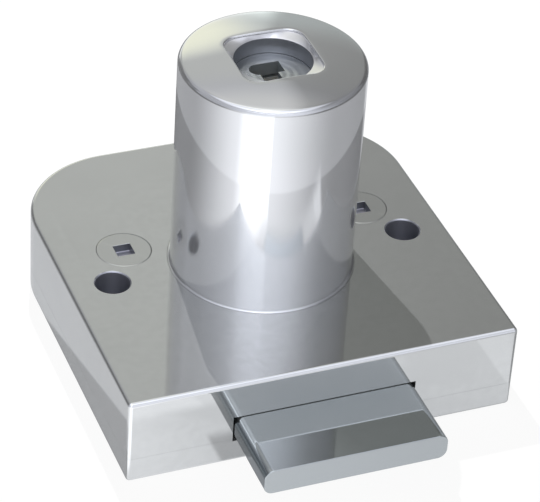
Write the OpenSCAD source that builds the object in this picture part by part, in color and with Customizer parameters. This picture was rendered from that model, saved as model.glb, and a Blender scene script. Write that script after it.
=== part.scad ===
// Cabinet lock: square rim case, round disc-detainer cylinder, flat dead bolt thrown by a rack and pinion.
// Origin on the cylinder axis at the mounting face of the case, +Z out through the key face, bolt towards -Y.

/* [Case] */
// Width of the case across the bolt's direction
case_w = 48; // [46.8:0.1:54]
// From the cylinder axis to the front face, where the bolt comes out
case_front = 22; // [21.4:0.1:24]
// From the cylinder axis to the rear face
case_rear = 26; // [25.4:0.1:30]
// Depth of the case from its mounting face to the parting line
case_h = 8; // [7.8:0.1:9]
// Thickness of the case's mounting face
face_t = 2.2; // [2:0.1:2.6]
// Thickness of the side walls
wall = 2; // [1.6:0.1:2.2]
// Radius of the two rear corners
corner_r = 12.2; // [10:0.1:13]
// Rounding of the outer edges
edge_r = 0.5; // [0.3:0.05:0.8]
// Wall of the round bosses about the screws and holes
boss_wall = 1.9; // [1.4:0.1:2.1]
// Thickness of the ribs that guide the bolt's sides
guide_t = 1.6; // [1.2:0.1:2]

/* [Cover] */
// Thickness of the back cover
cover_t = 3.3; // [3.1:0.1:4.5]
// Depth of the cover's channel under the bolt
channel_d = 0.3; // [0.2:0.05:0.5]
// Radius of the cover's locating spigots
spigot_r = 1.6; // [1.2:0.1:1.9]
// Height of the locating spigots
spigot_h = 2.4; // [1.5:0.1:3]
// Distance of a spigot from the side and front faces
spigot_in = 5; // [4.6:0.1:6]

/* [Mounting screws and cover screws] */
// Distance between the two mounting holes
hole_pitch = 37.2; // [36:0.1:38]
// Distance of the mounting holes behind the cylinder axis
hole_y = 0.2; // [-0.5:0.1:1]
// Radius of a mounting hole
hole_r = 2.1; // [1.8:0.05:2.3]
// Radius of the countersink on the back of the cover
csk_r = 4; // [3.6:0.1:4.4]
// Distance between the two cover screws
head_pitch = 30.6; // [30.2:0.1:31.2]
// Distance of the cover screws behind the cylinder axis
head_y = 5.95; // [5.5:0.05:7]
// Radius of a cover screw's flush head
head_r = 3.3; // [2.9:0.05:3.5]
// Thickness of a cover screw's head
head_t = 1.9; // [1.5:0.1:2.2]
// Radius of a cover screw's shank
shank_r = 1.6; // [1.3:0.05:1.9]
// Width of the square socket in a screw head
socket_w = 2.15; // [1.6:0.05:2.4]
// Depth of the square socket
socket_d = 1.1; // [0.8:0.1:1.3]

/* [Cylinder housing] */
// Radius of the barrel
barrel_r = 10.95; // [10.8:0.05:11.2]
// Height of the barrel's rim above the mounting face
barrel_h = 28; // [27.8:0.1:32]
// Rounding of the barrel's rim
rim_r = 0.75; // [0.4:0.05:1.2]
// Fillet between the barrel and the case's mounting face
foot_r = 0.25; // [0.2:0.05:0.4]
// Radius of the sphere that crowns the key face
crown_r = 58; // [45:1:90]
// Half width of the rounded-square recess in the key face
recess_w = 4.95; // [4.8:0.05:5.5]
// Depth of the recess below the rim's height
recess_d = 0.25; // [0.1:0.05:0.5]
// Corner radius of the recess
recess_r = 2; // [1.6:0.1:2.6]
// Radius of the key well
well_r = 4.58; // [4.3:0.02:4.7]
// Depth of the key well below the rim's height
well_d = 2; // [1.6:0.1:2.4]
// Gap between the flange that holds the housing inside the case and the bolt behind it
flange_gap = 0.4; // [0.3:0.05:0.6]
// Reach of the flange in front of and behind the axis
flange_y = 17; // [16.4:0.1:18]
// Distance of a flange screw from the axis, along the bolt
ear_y = 14.3; // [14:0.1:14.8]
// Half distance between two flange screws of one ear
ear_x = 6.5; // [4:0.1:7.5]

/* [Core and discs] */
// Radius of the core
core_r = 7.25; // [7.1:0.05:7.4]
// Wall of the core's sleeve
sleeve_t = 1.55; // [1.45:0.05:1.7]
// Number of detainer discs
n_discs = 9; // [6:1:9]
// Thickness of a detainer disc
disc_t = 1.7; // [1.4:0.05:1.8]
// Thickness of a spacer between discs
spacer_t = 0.4; // [0.3:0.05:0.5]
// Thickness of the front guard disc
guard_t = 1.7; // [1.2:0.1:2]
// Radius of the sidebar
bar_r = 1; // [0.8:0.05:1.05]
// Radius of the return bar
return_r = 0.75; // [0.6:0.05:0.8]
// Angle through which the key turns the core
turn = 90; // [80:1:95]
// Depth of the rotation stop on the core's foot
stop_r = 1.1; // [0.8:0.1:1.4]
// Thickness of the circlip behind the core
clip_t = 0.7; // [0.5:0.05:0.8]

/* [Keyway] */
// Height of the keyway's cross bar
key_bar = 2.2; // [1.8:0.1:2.4]
// Reach of the cross bar's round end from the axis
key_left = 2.3; // [1.9:0.05:2.6]
// Reach of the cross bar's square end from the axis
key_right = 1.65; // [1.3:0.05:2]
// Width of the keyway's stem
key_stem = 2.2; // [1.8:0.1:2.4]
// Reach of the keyway behind and in front of the axis
key_reach = 2.5; // [2.2:0.1:3]

/* [Bolt and pinion] */
// Width of the bolt
bolt_w = 22.4; // [21.6:0.1:22.8]
// Thickness of the bolt
bolt_t = 3.3; // [3:0.05:3.5]
// How far the bolt stands out of the front face, which is also its travel
throw = 9.9; // [9:0.1:10.4]
// Rounding of the bolt's long edges
bolt_r = 1.12; // [0.8:0.02:1.4]
// Length of the bolt behind the cylinder axis
bolt_tail = 12; // [11:0.1:12.6]
// Number of teeth on the pinion
teeth = 12; // [10:1:14]
// Side of the square drive on the core's tail
drive_w = 5.4; // [5:0.1:5.8]
// Radius of the pinion's hub, which turns in the cover
hub_r = 4.2; // [3.9:0.1:4.6]
// Length of the hub below the bolt
hub_h = 1.6; // [1.4:0.1:1.8]
// Radius of the screw that holds the pinion on the core
pin_screw_r = 1.45; // [1.2:0.05:1.6]
// Radius of that screw's head
pin_head_r = 2.85; // [2.6:0.05:3]
// Height of that screw's head
pin_head_h = 1.2; // [1:0.1:1.3]

/* [Hidden] */
$fn = 64;
e = 0.01;
// clearances
fit = 0.05;      // turning and sliding fits
slide = 0.1;     // bolt in its guides
ring_gap = 0.1;  // screw heads and barrel in their holes
// case and cover levels
cover_z = -case_h - cover_t;
side_x = case_w / 2;
in_x = side_x - wall;
in_front = case_front - wall;
in_rear = case_rear - wall;
bolt_x = bolt_w / 2;
guide_x = bolt_x + slide;
channel_z = -case_h - channel_d;
// the bolt runs on the floor of the cover's channel
bolt_lo = channel_z + slide;
bolt_top = bolt_lo + bolt_t;
boss_hole_r = hole_r + boss_wall;
head_hole_r = head_r + ring_gap / 2;
boss_head_r = min(head_r + 0.65, head_pitch / 2 - guide_x - 0.02);
// housing
seat_r = barrel_r + foot_r;
barrel_hole_r = seat_r + fit;
// the flange lies between the bolt's guides and fills the depth from the mounting face to the bolt's gap
flange_x = guide_x - 0.2;
flange_z = bolt_top + flange_gap;
flange_t = -face_t - flange_z;
bore_r = core_r + fit;
bore_top = barrel_h - well_d;
rim_c = barrel_r - rim_r;
rim_z = barrel_h - rim_r;
crown_c = rim_z - sqrt(pow(crown_r - rim_r, 2) - rim_c * rim_c);
function crown(r) = crown_c + sqrt(crown_r * crown_r - r * r);
recess_z = barrel_h - recess_d;
ear_shank_r = 1.2;
ear_head_r = 2.2;
// core
core_top = bore_top - fit;
core_foot = flange_z + 0.75 + clip_t + 0.4;
disc_bore = core_r - sleeve_t;
disc_r = disc_bore - fit;
pitch_z = disc_t + spacer_t;
stack_top = core_top - guard_t;
core_floor = stack_top - n_discs * pitch_z - fit;
bar_z0 = core_floor + 0.3;
bar_z1 = stack_top - 0.25;
web_z = bolt_lo + 0.6;
head_seat_z = bolt_lo - 2 * slide;
thread_top = core_foot - 0.75;
bar_in = core_r - fit - bar_r;
bar_lift = disc_r + fit - (bar_in - bar_r) + 0.05;
bar_a = 90;
return_a = 270;
return_c = disc_bore + 0.17;
return_ring = return_c - return_r - fit;
stop_a = 225;
stop_w = 2.6;
clip_z = core_foot - 0.4 - clip_t;
// code of each disc: the angle of its keyway from the guard's, with all true gates under the sidebar
codes = [0, 36, 18, 54, 9, 45, 27, 63, 0];
// rack and pinion
pitch_r = throw / (turn * PI / 180);
module_m = 2 * pitch_r / teeth;
backlash = 0.12;
press = 20;
base_r = pitch_r * cos(press);
rack_add = min(0.68 * module_m, 0.95 * pitch_r * pow(sin(press), 2));
pin_add = 0.88 * module_m;
tip_r = pitch_r + pin_add;
root_r = pitch_r - rack_add - 0.18;
rack_root = tip_r + 0.16;
lower_end = -case_front - throw;

// Shapes that several parts use.
// outline of the case: square front corners, large round rear corners
module outline(inset = 0) {
    cx = side_x - corner_r;
    cy = case_rear - corner_r;
    x = side_x - inset;
    y = case_front - inset;
    r = edge_r - inset;
    translate([-x, -y + r]) square([2 * x, y - r + cy]);
    translate([-x + r, -y]) square([2 * (x - r), y]);
    translate([-cx, 0]) square([2 * cx, case_rear - inset]);
    for (s = [-1, 1]) {
        translate([s * cx, cy]) circle(corner_r - inset, $fn = 96);
        translate([s * (x - r), -y + r]) circle(r, $fn = 32);
    }
}
// the space inside the walls
module inner(z0, z1, gap = 0) {
    r = corner_r - wall - gap;
    x = in_x - gap;
    cx = side_x - corner_r;
    cy = case_rear - corner_r;
    translate([-x, -in_front + gap, z0]) cube([2 * x, in_front - gap + cy, z1 - z0]);
    translate([-cx, 0, z0]) cube([2 * cx, in_rear - gap, z1 - z0]);
    for (s = [-1, 1]) translate([s * cx, cy, z0]) cylinder(r = r, h = z1 - z0, $fn = 96);
}
// waste that rounds the upper outer edge at height z
module edge_waste(z) {
    cx = side_x - corner_r;
    cy = case_rear - corner_r;
    module cut() difference() {
        translate([0, -edge_r]) square(edge_r + 1);
        translate([0, -edge_r]) circle(edge_r, $fn = 48);
    }
    module run(l) rotate([90, 0, 90]) linear_extrude(l) cut();
    xr = side_x - edge_r;
    yf = case_front - edge_r;
    translate([0, 0, z]) {
        for (s = [0, 1]) mirror([s, 0, 0]) {
            translate([xr, cy, 0]) rotate([0, 0, -90]) run(yf + cy);
            translate([cx, cy, 0]) rotate_extrude(angle = 90, $fn = 96)
                translate([corner_r - edge_r, 0]) cut();
            translate([xr, -yf, 0]) rotate([0, 0, -90]) rotate_extrude(angle = 90, $fn = 48) cut();
        }
        translate([-cx, case_rear - edge_r, 0]) run(2 * cx);
        translate([xr, -yf, 0]) rotate([0, 0, 180]) run(2 * xr);
    }
}
module at_holes() for (s = [-1, 1]) translate([s * hole_pitch / 2, hole_y, 0]) children();
module at_heads() for (s = [-1, 1]) translate([s * head_pitch / 2, head_y, 0]) children();
module at_spigots() for (s = [-1, 1]) translate([s * (side_x - spigot_in), -case_front + spigot_in, 0]) children();
module at_ears() for (sx = [-1, 1], sy = [-1, 1]) translate([sx * ear_x, sy * ear_y, 0]) children();
module sector(r, a0, a1, z0, z1) {
    n = ceil((a1 - a0) / 30);
    R = r * 1.3;
    pts = concat([[0, 0]], [for (i = [0 : n]) let (a = a0 + (a1 - a0) * i / n) [R * cos(a), R * sin(a)]]);
    intersection() {
        translate([0, 0, z0]) cylinder(r = r, h = z1 - z0);
        translate([0, 0, z0 - 1]) linear_extrude(z1 - z0 + 2) polygon(pts);
    }
}
module polar(r, a) rotate([0, 0, a]) translate([r, 0, 0]) children();

// Case, open at its back.
module lock_case() color("silver") difference() {
    union() {
        difference() {
            union() {
                translate([0, 0, -case_h + 0.12]) linear_extrude(case_h - 0.12) outline();
                translate([0, 0, -case_h]) linear_extrude(0.2) outline(0.12);
            }
            inner(-case_h - 1, -face_t);
        }
        // bosses, ribs and spigot seats stand on the mounting face
        intersection() {
            union() {
                at_holes() translate([0, 0, -case_h]) cylinder(r = boss_hole_r, h = case_h - face_t + e);
                at_heads() translate([0, 0, -case_h]) cylinder(r = boss_head_r, h = case_h - face_t + e);
                at_spigots() translate([0, 0, -case_h]) cylinder(r = spigot_r + 1.7, h = case_h - face_t + e);
                for (s = [-1, 1]) translate([s * (guide_x + guide_t / 2) - guide_t / 2, -in_front - e, -case_h])
                    cube([guide_t, in_front + in_rear, case_h - face_t + e]);
            }
            inner(-case_h, -face_t + e, -0.4);
        }
    }
    edge_waste(0);
    // seat of the barrel
    translate([0, 0, -face_t - 1]) cylinder(r = barrel_hole_r, h = face_t + 2, $fn = 96);
    // slot of the bolt
    translate([-guide_x, -case_front - 1, -case_h - 1]) cube([2 * guide_x, wall + 2, case_h + 1 + bolt_top + slide]);
    at_holes() {
        translate([0, 0, -case_h - 1]) cylinder(r = hole_r, h = case_h + 2);
        translate([0, 0, -0.15]) cylinder(r1 = hole_r, r2 = hole_r + 0.3, h = 0.3);
    }
    at_heads() {
        translate([0, 0, -case_h - 1]) cylinder(r = shank_r + 0.15, h = case_h + 2);
        translate([0, 0, -head_t]) cylinder(r = head_hole_r, h = head_t + 1);
    }
    at_spigots() translate([0, 0, -case_h - 1]) cylinder(r = spigot_r + fit, h = 1 + spigot_h + 0.1);
    at_ears() translate([0, 0, -face_t - 1]) cylinder(r = ear_shank_r + 0.02, h = 1 + face_t - 0.55);
}
// Back cover and the two screws that hold it.
module back_cover() color("lightsteelblue") difference() {
    union() {
        translate([0, 0, cover_z]) linear_extrude(cover_t) outline();
        at_spigots() translate([0, 0, -case_h - e]) cylinder(r = spigot_r, h = spigot_h + e);
    }
    translate([0, 0, cover_z]) mirror([0, 0, 1]) edge_waste(0);
    // channel under the bolt, open at the front
    translate([-guide_x, -case_front - 1, channel_z])
        cube([2 * guide_x, case_front + 1 + bolt_tail + throw + 0.4, channel_d + 1]);
    // bearing of the pinion's hub
    translate([0, 0, bolt_lo - hub_h - slide]) cylinder(r = hub_r + fit, h = hub_h + 2);
    at_holes() {
        translate([0, 0, cover_z - 1]) cylinder(r = hole_r, h = cover_t + 2);
        translate([0, 0, cover_z - e]) cylinder(r1 = csk_r + e, r2 = hole_r, h = csk_r - hole_r + e);
    }
    at_heads() translate([0, 0, cover_z - 1]) cylinder(r = shank_r + 0.02, h = cover_t + 2);
}
module cover_screws() color("gainsboro") at_heads() difference() {
    union() {
        translate([0, 0, -head_t + 0.02]) cylinder(r = head_r, h = head_t - 0.02);
        translate([0, 0, cover_z + 0.3]) cylinder(r = shank_r, h = -cover_z - 0.3 - head_t + 0.5);
    }
    translate([-socket_w / 2, -socket_w / 2, -socket_d]) cube([socket_w, socket_w, 2]);
}
// Cylinder housing: barrel and flange.
module barrel_profile() {
    a1 = atan2(rim_z - crown_c, rim_c);
    // seat in the case, with the small fillet at the foot of the barrel
    difference() {
        translate([0, -face_t]) square([seat_r, face_t + foot_r]);
        translate([seat_r, foot_r]) circle(foot_r, $fn = 32);
    }
    square([barrel_r, rim_z]);
    translate([rim_c, rim_z]) circle(rim_r, $fn = 48);
    // crown, which runs on from the rim's rounding
    intersection() {
        translate([0, crown_c]) circle(crown_r, $fn = 360);
        polygon([[0, rim_z], [rim_c, rim_z], [rim_c + 2 * rim_r * cos(a1), rim_z + 2 * rim_r * sin(a1)], [0, rim_z + 8]]);
    }
}
module recess_slice(w, r, z) translate([0, 0, z]) linear_extrude(e) union() {
    square([2 * w, 2 * (w - r)], center = true);
    square([2 * (w - r), 2 * w], center = true);
    for (x = [-1, 1], y = [-1, 1]) translate([x * (w - r), y * (w - r)]) circle(r, $fn = 32);
}
module cylinder_housing() color("whitesmoke") difference() {
    union() {
        rotate_extrude($fn = 128) barrel_profile();
        translate([0, 0, flange_z]) linear_extrude(flange_t) {
            square([2 * flange_x, 2 * (flange_y - 2)], center = true);
            square([2 * (flange_x - 2), 2 * flange_y], center = true);
            for (x = [-1, 1], y = [-1, 1]) translate([x * (flange_x - 2), y * (flange_y - 2)]) circle(2, $fn = 32);
        }
    }
    translate([0, 0, flange_z - 1]) cylinder(r = bore_r, h = bore_top - flange_z + 1, $fn = 96);
    translate([0, 0, bore_top - 1]) cylinder(r = well_r, h = 6, $fn = 96);
    hull() {
        recess_slice(recess_w - 0.25, recess_r - 0.25, recess_z);
        recess_slice(recess_w + 0.05, recess_r + 0.05, crown(0) + 0.1);
    }
    // two grooves take the sidebar when the core is at either end of its turn
    for (a = [bar_a, bar_a - turn]) polar(bar_in + bar_lift, a)
        translate([0, 0, flange_z - 1]) cylinder(r = bar_r + fit, h = bar_z1 + 0.3 - flange_z + 1, $fn = 32);
    // pocket of the rotation stop
    half = asin(stop_w / 2 / (core_r + stop_r)) + 2;
    sector(core_r + stop_r + 0.1, stop_a - turn - half, stop_a + half, flange_z - 1, core_foot + 2.2);
    // groove of the circlip
    translate([0, 0, clip_z - fit]) cylinder(r = bore_r + 0.65, h = clip_t + 2 * fit, $fn = 96);
    at_ears() {
        translate([0, 0, flange_z - 1]) cylinder(r = ear_shank_r + 0.1, h = flange_t + 2);
        translate([0, 0, flange_z - e]) cylinder(r1 = ear_head_r + e, r2 = ear_shank_r + 0.05, h = ear_head_r - ear_shank_r);
    }
}
module flange_screws() color("dimgray") at_ears() difference() {
    union() {
        translate([0, 0, flange_z + 0.05]) cylinder(r1 = ear_head_r - 0.05, r2 = ear_shank_r, h = ear_head_r - ear_shank_r - 0.05);
        translate([0, 0, flange_z + 0.5]) cylinder(r = ear_shank_r, h = -flange_z - 0.5 - 0.6);
    }
    translate([0, 0, flange_z - 1]) cylinder(r = 0.85, h = 1.9, $fn = 6);
}
// Core with its discs and bars.
module gate_cut() polar(bar_in, bar_a) translate([0, 0, -50]) cylinder(r = bar_r + fit, h = 100, $fn = 32);
module lock_core() color("goldenrod") difference() {
    union() {
        translate([0, 0, core_foot]) cylinder(r = core_r, h = core_top - core_foot, $fn = 96);
        intersection() {
            rotate([0, 0, stop_a]) translate([0, -stop_w / 2, core_foot]) cube([20, stop_w, 2.1]);
            translate([0, 0, core_foot]) cylinder(r = core_r + stop_r, h = 2.1, $fn = 96);
        }
        intersection() {
            translate([-drive_w / 2, -drive_w / 2, web_z + fit]) cube([drive_w, drive_w, core_foot - web_z]);
            translate([0, 0, web_z + fit]) cylinder(r = drive_w * 0.65, h = core_foot - web_z);
        }
    }
    translate([0, 0, core_floor]) cylinder(r = disc_bore, h = 50, $fn = 96);
    // slot of the sidebar
    rotate([0, 0, bar_a]) translate([2, -bar_r - fit, bar_z0 - 0.1]) cube([10, 2 * (bar_r + fit), bar_z1 - bar_z0 + 0.2]);
    // groove of the return bar
    polar(return_c, return_a) translate([0, 0, core_floor]) cylinder(r = return_r + fit, h = stack_top - core_floor, $fn = 32);
    // seats of the guard disc's two ears
    translate([-disc_bore - 1 - fit, -1.2 - fit, stack_top]) cube([2 * (disc_bore + 1 + fit), 2 * (1.2 + fit), 10]);
    // thread of the pinion screw
    translate([0, 0, web_z - 1]) cylinder(r = pin_screw_r + 0.02, h = thread_top - web_z + 1, $fn = 32);
}
module keyway2d(grow = 0) {
    r = key_bar / 2 + grow;
    yc = key_reach - key_bar / 2;
    xc = key_bar / 2 - key_left;
    translate([xc, yc]) circle(r, $fn = 32);
    translate([xc, yc - r]) square([key_right + grow - xc, 2 * r]);
    sx = (key_right - key_left) / 2 + 0.05;
    translate([sx - key_stem / 2 - grow, -key_reach + key_stem / 2]) square([key_stem + 2 * grow, 2 * key_reach - key_stem]);
    translate([sx, -key_reach + key_stem / 2]) circle(key_stem / 2 + grow, $fn = 32);
}
module keyway_guard() color("slategray") difference() {
    union() {
        translate([0, 0, stack_top]) cylinder(r = disc_r, h = guard_t, $fn = 96);
        translate([-disc_bore - 1 + 0.1, -1.2, stack_top]) cube([2 * (disc_bore + 0.9), 2.4, guard_t]);
    }
    translate([0, 0, stack_top - 1]) linear_extrude(guard_t + 2) keyway2d();
}
function disc_z(i) = stack_top - i * pitch_z;
module detainer_disc(i) if (i <= n_discs) {
    c = codes[i - 1];
    color("peru") difference() {
        translate([0, 0, disc_z(i)]) cylinder(r = disc_r, h = disc_t, $fn = 96);
        translate([0, 0, disc_z(i) - 1]) linear_extrude(disc_t + 2) rotate([0, 0, c]) keyway2d(0.1);
        gate_cut();
        // recess in which the return bar runs
        difference() {
            sector(disc_r + 1, return_a - 100 + c, return_a + 10 + c, disc_z(i) - 1, disc_z(i) + disc_t + 1);
            translate([0, 0, disc_z(i) - 2]) cylinder(r = return_ring, h = disc_t + 4, $fn = 96);
        }
        // shallow false gates on either side of the true one
        for (a = [bar_a - 32 - c / 6, bar_a + 30 + c / 6]) polar(disc_r + bar_r - 0.25, a)
            translate([0, 0, disc_z(i) - 1]) cylinder(r = bar_r, h = disc_t + 2, $fn = 32);
    }
}
module detainer_disc_1() detainer_disc(1);
module detainer_disc_2() detainer_disc(2);
module detainer_disc_3() detainer_disc(3);
module detainer_disc_4() detainer_disc(4);
module detainer_disc_5() detainer_disc(5);
module detainer_disc_6() detainer_disc(6);
module detainer_disc_7() detainer_disc(7);
module detainer_disc_8() detainer_disc(8);
module detainer_disc_9() detainer_disc(9);
module disc_spacers() color("lightgray") for (i = [1 : n_discs]) difference() {
    translate([0, 0, disc_z(i) + disc_t]) cylinder(r = disc_r, h = spacer_t, $fn = 96);
    translate([0, 0, disc_z(i)]) cylinder(r = key_reach + 1, h = pitch_z + 1);
    gate_cut();
    polar(return_c, return_a) translate([0, 0, disc_z(i)]) cylinder(r = return_r + fit, h = pitch_z + 1, $fn = 32);
}
module sidebar() color("lightyellow") polar(bar_in, bar_a) translate([0, 0, bar_z0])
    cylinder(r = bar_r, h = bar_z1 - bar_z0, $fn = 32);
module return_bar() color("khaki") polar(return_c, return_a) translate([0, 0, core_floor + fit])
    cylinder(r = return_r, h = stack_top - core_floor - 2 * fit, $fn = 32);
module core_washer() color("gray") difference() {
    translate([0, 0, core_foot - 0.35]) cylinder(r = core_r - 0.15, h = 0.3, $fn = 64);
    translate([0, 0, core_foot - 1]) cylinder(r = 5, h = 2);
}
module core_circlip() color("black") difference() {
    translate([0, 0, clip_z]) cylinder(r = bore_r + 0.6, h = clip_t, $fn = 64);
    translate([0, 0, clip_z - 1]) cylinder(r = core_r - 1.35, h = clip_t + 2);
    sector(20, -105, -75, clip_z - 1, clip_z + clip_t + 1);
}
// Pinion, its screw and the bolt.
function inv(a) = tan(a) - a * PI / 180;
function flank(r) = (inv(acos(min(1, base_r / r))) - inv(press)) * 180 / PI;
half_tooth = 90 / teeth - backlash / 4 / pitch_r * 180 / PI;
radii = [for (i = [0 : 6]) let (r0 = max(base_r, root_r)) r0 + (tip_r - r0) * i / 6];
function at(r, a) = [r * cos(a), r * sin(a)];
function tooth(c) = concat([at(root_r, c - half_tooth + flank(base_r) * 1.0)],
    [for (r = radii) at(r, c - half_tooth + flank(r))],
    [for (i = [6 : -1 : 0]) at(radii[i], c + half_tooth - flank(radii[i]))],
    [at(root_r, c + half_tooth - flank(base_r) * 1.0)]);
module bolt_pinion() color("darkgoldenrod") difference() {
    union() {
        translate([0, 0, bolt_lo]) linear_extrude(bolt_t)
            polygon([for (k = [0 : teeth - 1]) each tooth(180 + (k + 0.5) * 360 / teeth)]);
        translate([0, 0, bolt_lo - hub_h]) cylinder(r = hub_r, h = hub_h + e);
    }
    translate([-drive_w / 2 - 0.03, -drive_w / 2 - 0.03, web_z]) cube([drive_w + 0.06, drive_w + 0.06, 20]);
    translate([0, 0, bolt_lo - hub_h - 1]) cylinder(r = pin_screw_r + 0.15, h = hub_h + bolt_t);
    translate([0, 0, bolt_lo - hub_h - 1]) cylinder(r = pin_head_r + 0.15, h = hub_h + 1 + head_seat_z - bolt_lo);
}
module pinion_screw() color("dimgray") difference() {
    union() {
        translate([0, 0, head_seat_z - pin_head_h]) cylinder(r = pin_head_r, h = pin_head_h);
        translate([0, 0, head_seat_z - e]) cylinder(r = pin_screw_r, h = thread_top - 2 * slide + e - head_seat_z);
    }
    translate([0, 0, head_seat_z - pin_head_h - 1]) cylinder(r = pin_head_r * 0.42, h = 1 + 2 * pin_head_h / 3, $fn = 6);
}
tooth_pitch = 2 * PI * pitch_r / teeth;
function rack_half(u) = tooth_pitch / 4 - backlash / 4 - u * tan(press);
module dead_bolt() color("lightslategray") union() {
    w1 = tip_r + 0.4;
    difference() {
        translate([0, bolt_tail, (bolt_lo + bolt_top) / 2]) rotate([90, 0, 0])
            linear_extrude(bolt_tail - lower_end) {
                square([bolt_w, bolt_t - 2 * bolt_r], center = true);
                square([bolt_w - 2 * bolt_r, bolt_t], center = true);
                for (x = [-1, 1], z = [-1, 1])
                    translate([x * (bolt_x - bolt_r), z * (bolt_t / 2 - bolt_r)]) circle(bolt_r, $fn = 48);
            }
        translate([-rack_root, -throw - w1, bolt_lo - 1]) cube([rack_root + w1, throw + 2 * w1, bolt_t + 2]);
    }
    // rack on the left side of the window
    ru = pitch_r - rack_root;
    for (k = [-floor((throw + w1 - 1.4) / tooth_pitch) : 1]) translate([0, k * tooth_pitch, bolt_lo])
        linear_extrude(bolt_t) polygon([[-rack_root - 0.2, -rack_half(ru)], [-rack_root, -rack_half(ru)],
            [-pitch_r + rack_add, -rack_half(rack_add)], [-pitch_r + rack_add, rack_half(rack_add)],
            [-rack_root, rack_half(ru)], [-rack_root - 0.2, rack_half(ru)]]);
}

lock_case();
back_cover();
cover_screws();
cylinder_housing();
flange_screws();
lock_core();
keyway_guard();
detainer_disc_1();
detainer_disc_2();
detainer_disc_3();
detainer_disc_4();
detainer_disc_5();
detainer_disc_6();
detainer_disc_7();
detainer_disc_8();
detainer_disc_9();
disc_spacers();
sidebar();
return_bar();
core_washer();
core_circlip();
bolt_pinion();
pinion_screw();
dead_bolt();
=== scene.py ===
import math

import bmesh
import bpy
from mathutils import Matrix, Vector


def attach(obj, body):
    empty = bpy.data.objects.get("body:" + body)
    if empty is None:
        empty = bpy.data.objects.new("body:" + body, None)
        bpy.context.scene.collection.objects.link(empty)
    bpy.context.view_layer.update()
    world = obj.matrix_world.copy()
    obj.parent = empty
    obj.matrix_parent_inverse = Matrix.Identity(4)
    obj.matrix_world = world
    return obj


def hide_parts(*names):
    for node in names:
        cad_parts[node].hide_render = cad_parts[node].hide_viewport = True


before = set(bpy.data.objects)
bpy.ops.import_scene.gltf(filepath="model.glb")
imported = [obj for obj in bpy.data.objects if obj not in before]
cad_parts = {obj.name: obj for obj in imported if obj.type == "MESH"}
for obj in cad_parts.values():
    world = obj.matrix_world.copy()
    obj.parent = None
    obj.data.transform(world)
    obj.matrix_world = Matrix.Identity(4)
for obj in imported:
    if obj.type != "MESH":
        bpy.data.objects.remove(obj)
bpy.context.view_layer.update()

MM = 0.001
X, Y, Z = range(3)


def reach(node, axis):
    """Lowest and highest place of one of the frame's nodes along an axis, in millimetres."""
    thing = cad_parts[node]
    places = [(thing.matrix_world @ v.co)[axis] / MM for v in thing.data.vertices]
    return round(min(places), 3), round(max(places), 3)


# outline and levels of the lock, from the frame
SIDE = reach("lock_case", X)[1]
FRONT, REAR = -reach("lock_case", Y)[0], reach("lock_case", Y)[1]
PARTING = reach("lock_case", Z)[0]
BACK, SPIGOT_TOP = reach("back_cover", Z)
FLANGE_Y = reach("cylinder_housing", Y)[1]
FLANGE_Z = reach("cylinder_housing", Z)[0]
BOLT_X = reach("dead_bolt", X)[1]
BOLT_END, BOLT_TAIL = reach("dead_bolt", Y)
BOLT_LO, BOLT_TOP = reach("dead_bolt", Z)
# its other sizes, in millimetres, as the frame's pieces have them: case and mounting holes, cover screws
CORNER, EDGE, FACE_T, WALL = 12.2, 0.5, 2.2, 2.0
HOLE_X, HOLE_Y, HOLE_R = 18.6, 0.2, 2.1
HEAD_X, HEAD_Y, HEAD_R, HEAD_T = 15.3, 5.95, 3.3, 1.9
SHANK_R, THREAD_R, THREAD_PITCH = 1.6, 1.42, 0.34
# barrel: outside and crown, recess with its lip, key well, bore and the circlip's groove
BARREL_R, RIM_R, FOOT_R, SEAT_R, NECK_R = 10.95, 0.75, 0.25, 11.2, 9.4
RIM_Z, CROWN_R = 27.25, 58.0
RECESS, RECESS_R = 5.01, 2.08
LIP, LIP_DROP = 0.20, 0.30
WELL_R, WELL_RIM_R, WELL_Z = 4.58, 4.65, 27.99
BORE_R, BORE_TOP = 7.3, 26.0
CLIP_R, CLIP_LO, CLIP_HI = 7.95, -3.8, -3.0
# its flange inside the case, with the four screws through that
FLANGE_X, EAR_X, EAR_Y = 11.1, 6.5, 14.3
# grooves for the sidebar, and the pocket of the turn's stop with its angles in degrees
GROOVE_AT, GROOVE_R, GROOVE_TOP = 6.72, 1.05, 24.3
STOP_R, STOP_TOP, STOP_FROM, STOP_SPAN = 8.45, -0.45, 124, 112
# spigots that place the cover, and the bearing of the pinion's hub
SPIGOT_X, SPIGOT_Y, SPIGOT_R, HUB_R = 19.0, -17.0, 1.6, 4.25
# bolt, its guides and slot, the pinion's window and the rack
BOLT_ROUND, GUIDE_X, GUIDE_T, SLOT_TOP = 1.12, 11.3, 1.6, -4.8
WINDOW_X0, WINDOW_X1, WINDOW_Y0, WINDOW_Y1 = -7.39, 7.63, -17.53, 7.63
RACK_PITCH, TOOTH_ROOT, TOOTH_TIP, TOOTH_HALF = 3.3, -7.6, -5.6, 1.27


# the camera and the studio

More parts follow.
